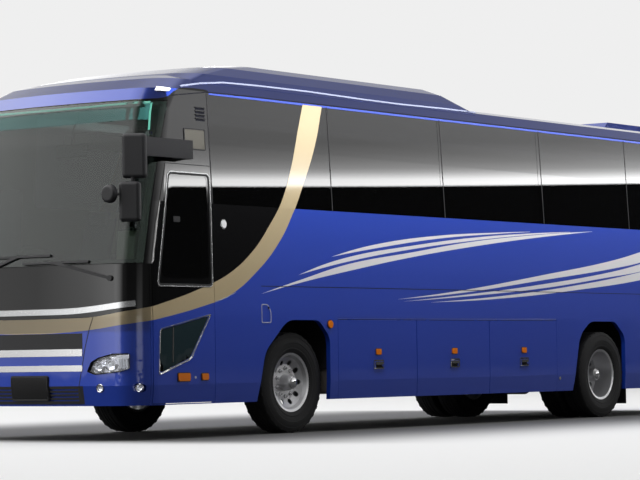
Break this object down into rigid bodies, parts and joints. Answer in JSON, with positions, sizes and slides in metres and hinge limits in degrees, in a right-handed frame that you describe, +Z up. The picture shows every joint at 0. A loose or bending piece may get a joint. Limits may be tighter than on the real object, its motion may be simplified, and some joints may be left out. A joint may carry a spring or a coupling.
{
  "type": "coach bus",
  "caption": "Super-high-deck touring coach with a raked windscreen, roof fairing, swing-out passenger door, top-hinged luggage doors and steered front wheels.",
  "frame": {"origin": "on the ground under the middle of the overall box, mirrors included", "axes": "+Y rearwards along the body, +X to the passenger door's side (the coach's left), +Z up"},
  "size_m": [2.83, 12.19, 3.75],
  "materials": {
    "body_paint": "deep blue metallic paint under gloss lacquer",
    "black_gloss": "gloss black",
    "black_plastic": "grained black",
    "tinted_glass": "privacy tint",
    "clear_glass": "laminated, slightly green",
    "lamp_glass": "clear lens over reflectors",
    "red_lens": "clear red",
    "amber_lens": "clear amber",
    "chrome": "bright plated",
    "alloy": "polished",
    "tyre": "black rubber",
    "chassis": "satin black chassis paint",
    "iron": "dark painted casting",
    "floor": "grey floor covering",
    "seat_fabric": "blue-grey moquette",
    "dash": "soft grained grey"
  },
  "bodies": {
    "root": {"underframe": "chassis", "floor_deck": "floor", "luggage_floor": "floor", "wheelhouses": "black_plastic", "left_side_wall": "body_paint", "right_side_wall": "body_paint", "roof_shell": "body_paint", "roof_fairing": "body_paint", "front_bumper": "body_paint", "front_mask": "black_gloss", "front_grilles": "black_plastic", "chrome_trim": "chrome", "windscreen": "clear_glass", "side_glass": "tinted_glass", "rear_panel": "body_paint", "rear_bumper": "body_paint", "rear_window": "tinted_glass", "head_lamps": "lamp_glass", "tail_lamps": "red_lens", "marker_lamps": "amber_lens", "wipers": "black_plastic", "mirrors": "black_gloss", "dashboard": "dash", "steering_wheel": "black_plastic", "driver_seat": "seat_fabric", "passenger_seats": "seat_fabric", "engine_block": "iron", "front_axle": "chassis", "rear_axle": "chassis"},
    "left_knuckle": {"left_knuckle": "iron"},
    "right_knuckle": {"right_knuckle": "iron"},
    "front_left_wheel": {"front_left_tyre": "tyre", "front_left_rim": "alloy"},
    "front_right_wheel": {"front_right_tyre": "tyre", "front_right_rim": "alloy"},
    "rear_left_wheel": {"rear_left_tyres": "tyre", "rear_left_rims": "alloy"},
    "rear_right_wheel": {"rear_right_tyres": "tyre", "rear_right_rims": "alloy"},
    "door_arm": {"door_arm": "black_plastic"},
    "passenger_door": {"passenger_door": "body_paint", "door_glass": "tinted_glass"},
    "engine_lid": {"engine_lid": "body_paint"},
    "left_luggage_door_1": {"left_luggage_door_1": "body_paint"},
    "left_luggage_door_2": {"left_luggage_door_2": "body_paint"},
    "left_luggage_door_3": {"left_luggage_door_3": "body_paint"},
    "right_luggage_door_1": {"right_luggage_door_1": "body_paint"},
    "right_luggage_door_2": {"right_luggage_door_2": "body_paint"},
    "right_luggage_door_3": {"right_luggage_door_3": "body_paint"}
  },
  "joints": [
    {"name": "left_steer", "type": "hinge", "parent": "root", "child": "left_knuckle", "pos_m": [0.85, -3.23, 0.512], "axis": [0, 0, 1], "range_deg": [-38, 38]},
    {"name": "front_left_spin", "type": "hinge", "parent": "left_knuckle", "child": "front_left_wheel", "pos_m": [1.015, -3.23, 0.512], "axis": [1, 0, 0], "continuous": true},
    {"name": "rear_left_spin", "type": "hinge", "parent": "root", "child": "rear_left_wheel", "pos_m": [0.91, 2.85, 0.512], "axis": [1, 0, 0], "continuous": true},
    {"name": "right_steer", "type": "hinge", "parent": "root", "child": "right_knuckle", "pos_m": [-0.85, -3.23, 0.512], "axis": [0, 0, 1], "range_deg": [-38, 38]},
    {"name": "front_right_spin", "type": "hinge", "parent": "right_knuckle", "child": "front_right_wheel", "pos_m": [-1.015, -3.23, 0.512], "axis": [1, 0, 0], "continuous": true},
    {"name": "rear_right_spin", "type": "hinge", "parent": "root", "child": "rear_right_wheel", "pos_m": [-0.91, 2.85, 0.512], "axis": [1, 0, 0], "continuous": true},
    {"name": "door_swing", "type": "hinge", "parent": "root", "child": "door_arm", "pos_m": [1.1, -5.465, 1.4], "axis": [0, 0, -1], "range_deg": [0, 140]},
    {"name": "door_leaf", "type": "hinge", "parent": "door_arm", "child": "passenger_door", "pos_m": [1.1, -5.025, 1.4], "axis": [0, 0, -1], "range_deg": [-140, 0]},
    {"name": "left_luggage_1", "type": "hinge", "parent": "root", "child": "left_luggage_door_1", "pos_m": [1.238, -1.8375, 1.156], "axis": [0, -1, 0], "range_deg": [0, 85]},
    {"name": "left_luggage_2", "type": "hinge", "parent": "root", "child": "left_luggage_door_2", "pos_m": [1.238, -0.3925, 1.156], "axis": [0, -1, 0], "range_deg": [0, 85]},
    {"name": "left_luggage_3", "type": "hinge", "parent": "root", "child": "left_luggage_door_3", "pos_m": [1.238, 1.0525, 1.156], "axis": [0, -1, 0], "range_deg": [0, 85]},
    {"name": "right_luggage_1", "type": "hinge", "parent": "root", "child": "right_luggage_door_1", "pos_m": [-1.238, -1.8375, 1.156], "axis": [0, 1, 0], "range_deg": [0, 85]},
    {"name": "right_luggage_2", "type": "hinge", "parent": "root", "child": "right_luggage_door_2", "pos_m": [-1.238, -0.3925, 1.156], "axis": [0, 1, 0], "range_deg": [0, 85]},
    {"name": "right_luggage_3", "type": "hinge", "parent": "root", "child": "right_luggage_door_3", "pos_m": [-1.238, 1.0525, 1.156], "axis": [0, 1, 0], "range_deg": [0, 85]},
    {"name": "engine_lid_lift", "type": "hinge", "parent": "root", "child": "engine_lid", "pos_m": [0, 6.061, 1.864], "axis": [1, 0, 0], "range_deg": [0, 80]}
  ],
  "couplings": [
    {"joint": "right_steer", "follows": "left_steer", "ratio": 1},
    {"joint": "door_leaf", "follows": "door_swing", "ratio": -1}
  ]
}
